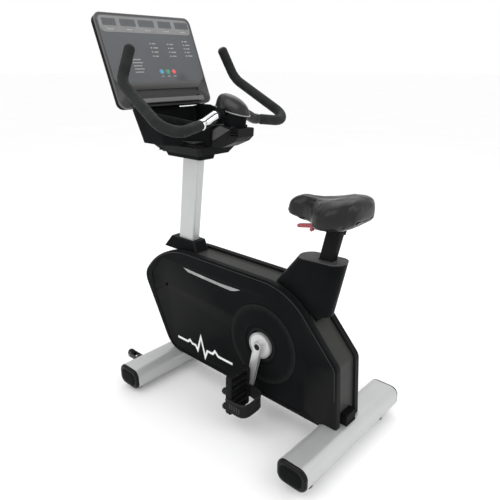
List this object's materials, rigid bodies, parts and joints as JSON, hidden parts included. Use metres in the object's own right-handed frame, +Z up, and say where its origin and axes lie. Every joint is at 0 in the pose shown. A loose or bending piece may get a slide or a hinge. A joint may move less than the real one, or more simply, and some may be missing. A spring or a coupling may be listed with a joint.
{
  "type": "exercise bike",
  "caption": "Upright exercise bike: enclosed drive housing, sliding saddle post, leaning mast with wide console and tray, bent handlebar, floor bars.",
  "frame": {"origin": "on the floor, under the middle of the bike's bounding box", "axes": "+Z up; +X to the rear, from console to saddle; +Y to the rider's right"},
  "size_m": [1.0478, 0.6172, 1.4191],
  "materials": {
    "silver_tube": "satin silver paint",
    "black_steel": "satin black paint",
    "cover_plastic": "fine-grained satin black",
    "gloss_plastic": "gloss black",
    "grey_plastic": "matt dark grey",
    "seat_skin": "stitched synthetic leather",
    "foam": "closed-cell foam",
    "foot_rubber": "matt rubber",
    "bright_chrome": "polished",
    "steel": "turned steel",
    "arm_metal": "satin",
    "iron": "machined rim",
    "belt_rubber": "ribbed",
    "lever_red": "dull crimson",
    "screen_glass": "tinted window",
    "key_blue": "blue",
    "key_green": "green",
    "key_red": "red"
  },
  "bodies": {
    "frame": {"front_stabilizer": "silver_tube", "rear_stabilizer": "silver_tube", "end_caps": "gloss_plastic", "front_feet": "foot_rubber", "wheel_brackets": "grey_plastic", "main_frame": "black_steel", "flywheel_axle": "steel", "console_mast": "silver_tube", "mast_boot": "cover_plastic", "left_side_cover": "cover_plastic", "right_side_cover": "cover_plastic", "spine_cover": "grey_plastic", "crank_shrouds": "cover_plastic", "power_inlet": "gloss_plastic", "seat_tower": "cover_plastic", "tower_cap": "grey_plastic", "post_bushing": "cover_plastic", "crank_bearings": "steel", "drive_belt": "belt_rubber", "idler_bracket": "black_steel", "console_bezel": "gloss_plastic", "console_screen": "screen_glass", "console_shell": "cover_plastic", "accessory_tray": "cover_plastic", "stem_shroud": "grey_plastic", "handlebar_clamp": "black_steel", "clamp_cover": "gloss_plastic", "handlebar_tube": "black_steel", "foam_grips": "foam", "pulse_sensors": "bright_chrome", "frame_screws": "steel"},
    "crank": {"crank_axle": "steel", "hub_discs": "arm_metal", "left_crank_arm": "arm_metal", "right_crank_arm": "arm_metal", "crank_bolts": "steel", "drive_pulley": "cover_plastic", "pedal_axles": "steel"},
    "left_pedal": {"left_pedal": "cover_plastic", "left_pedal_strap": "grey_plastic"},
    "right_pedal": {"right_pedal": "cover_plastic", "right_pedal_strap": "grey_plastic"},
    "flywheel": {"flywheel": "iron", "flywheel_pulley": "arm_metal"},
    "idler": {"idler_pulley": "arm_metal"},
    "magnet_brake": {"magnet_brake": "black_steel"},
    "seat": {"seat_post": "black_steel", "saddle_bracket": "black_steel", "lever_pin": "steel", "saddle_cushion": "seat_skin", "saddle_base": "cover_plastic"},
    "height_lever": {"height_lever": "lever_red"},
    "latch_rod": {"latch_rod": "steel"},
    "left_wheel": {"left_transport_wheel": "cover_plastic"},
    "right_wheel": {"right_transport_wheel": "cover_plastic"},
    "left_foot": {"left_levelling_foot": "foot_rubber"},
    "right_foot": {"right_levelling_foot": "foot_rubber"},
    "blue_key": {"blue_key": "key_blue"},
    "green_key": {"green_key": "key_green"},
    "red_key": {"red_key": "key_red"}
  },
  "joints": [
    {"name": "crank_spin", "type": "hinge", "parent": "frame", "child": "crank", "pos_m": [0.164, 0, 0.313], "axis": [0, 1, 0], "continuous": true},
    {"name": "flywheel_spin", "type": "hinge", "parent": "frame", "child": "flywheel", "pos_m": [-0.11, 0, 0.3], "axis": [0, 1, 0], "continuous": true},
    {"name": "idler_spin", "type": "hinge", "parent": "frame", "child": "idler", "pos_m": [0.03, -0.045, 0.2219], "axis": [0, 1, 0], "continuous": true},
    {"name": "left_pedal_spin", "type": "hinge", "parent": "crank", "child": "left_pedal", "pos_m": [0.12489, -0.157, 0.14756], "axis": [0, 1, 0], "continuous": true},
    {"name": "right_pedal_spin", "type": "hinge", "parent": "crank", "child": "right_pedal", "pos_m": [0.20311, 0.157, 0.47844], "axis": [0, 1, 0], "continuous": true},
    {"name": "seat_height", "type": "slide", "parent": "frame", "child": "seat", "axis": [0.225, 0, 0.9744], "range_m": [-0.07, 0.09]},
    {"name": "lever_pivot", "type": "hinge", "parent": "seat", "child": "height_lever", "pos_m": [0.36074, 0, 0.784], "axis": [0, 1, 0], "range_deg": [0, 12]},
    {"name": "latch_slide", "type": "slide", "parent": "seat", "child": "latch_rod", "axis": [-0.225, 0, -0.9744], "range_m": [0, 0.00837], "stiffness_N_per_m": 400, "springref_m": -0.008},
    {"name": "left_wheel_spin", "type": "hinge", "parent": "frame", "child": "left_wheel", "pos_m": [-0.463, -0.2, 0.076], "axis": [0, 1, 0], "continuous": true},
    {"name": "right_wheel_spin", "type": "hinge", "parent": "frame", "child": "right_wheel", "pos_m": [-0.463, 0.2, 0.076], "axis": [0, 1, 0], "continuous": true},
    {"name": "left_foot_screw", "type": "slide", "parent": "frame", "child": "left_foot", "axis": [0, 0, 1], "range_m": [0, 0.009]},
    {"name": "right_foot_screw", "type": "slide", "parent": "frame", "child": "right_foot", "axis": [0, 0, 1], "range_m": [0, 0.009]},
    {"name": "brake_tilt", "type": "hinge", "parent": "frame", "child": "magnet_brake", "pos_m": [-0.19718, 0, 0.42451], "axis": [0, 1, 0], "range_deg": [-8, 0]},
    {"name": "blue_key_press", "type": "slide", "parent": "frame", "child": "blue_key", "axis": [-0.9298, 0, -0.3681], "range_m": [0, 0.001], "stiffness_N_per_m": 300, "springref_m": -0.001},
    {"name": "green_key_press", "type": "slide", "parent": "frame", "child": "green_key", "axis": [-0.9298, 0, -0.3681], "range_m": [0, 0.001], "stiffness_N_per_m": 300, "springref_m": -0.001},
    {"name": "red_key_press", "type": "slide", "parent": "frame", "child": "red_key", "axis": [-0.9298, 0, -0.3681], "range_m": [0, 0.001], "stiffness_N_per_m": 300, "springref_m": -0.001}
  ],
  "couplings": [
    {"joint": "flywheel_spin", "follows": "crank_spin", "ratio": 5.8333},
    {"joint": "idler_spin", "follows": "crank_spin", "ratio": -7},
    {"joint": "lever_pivot", "follows": "latch_slide", "rad_per_m": 25}
  ]
}
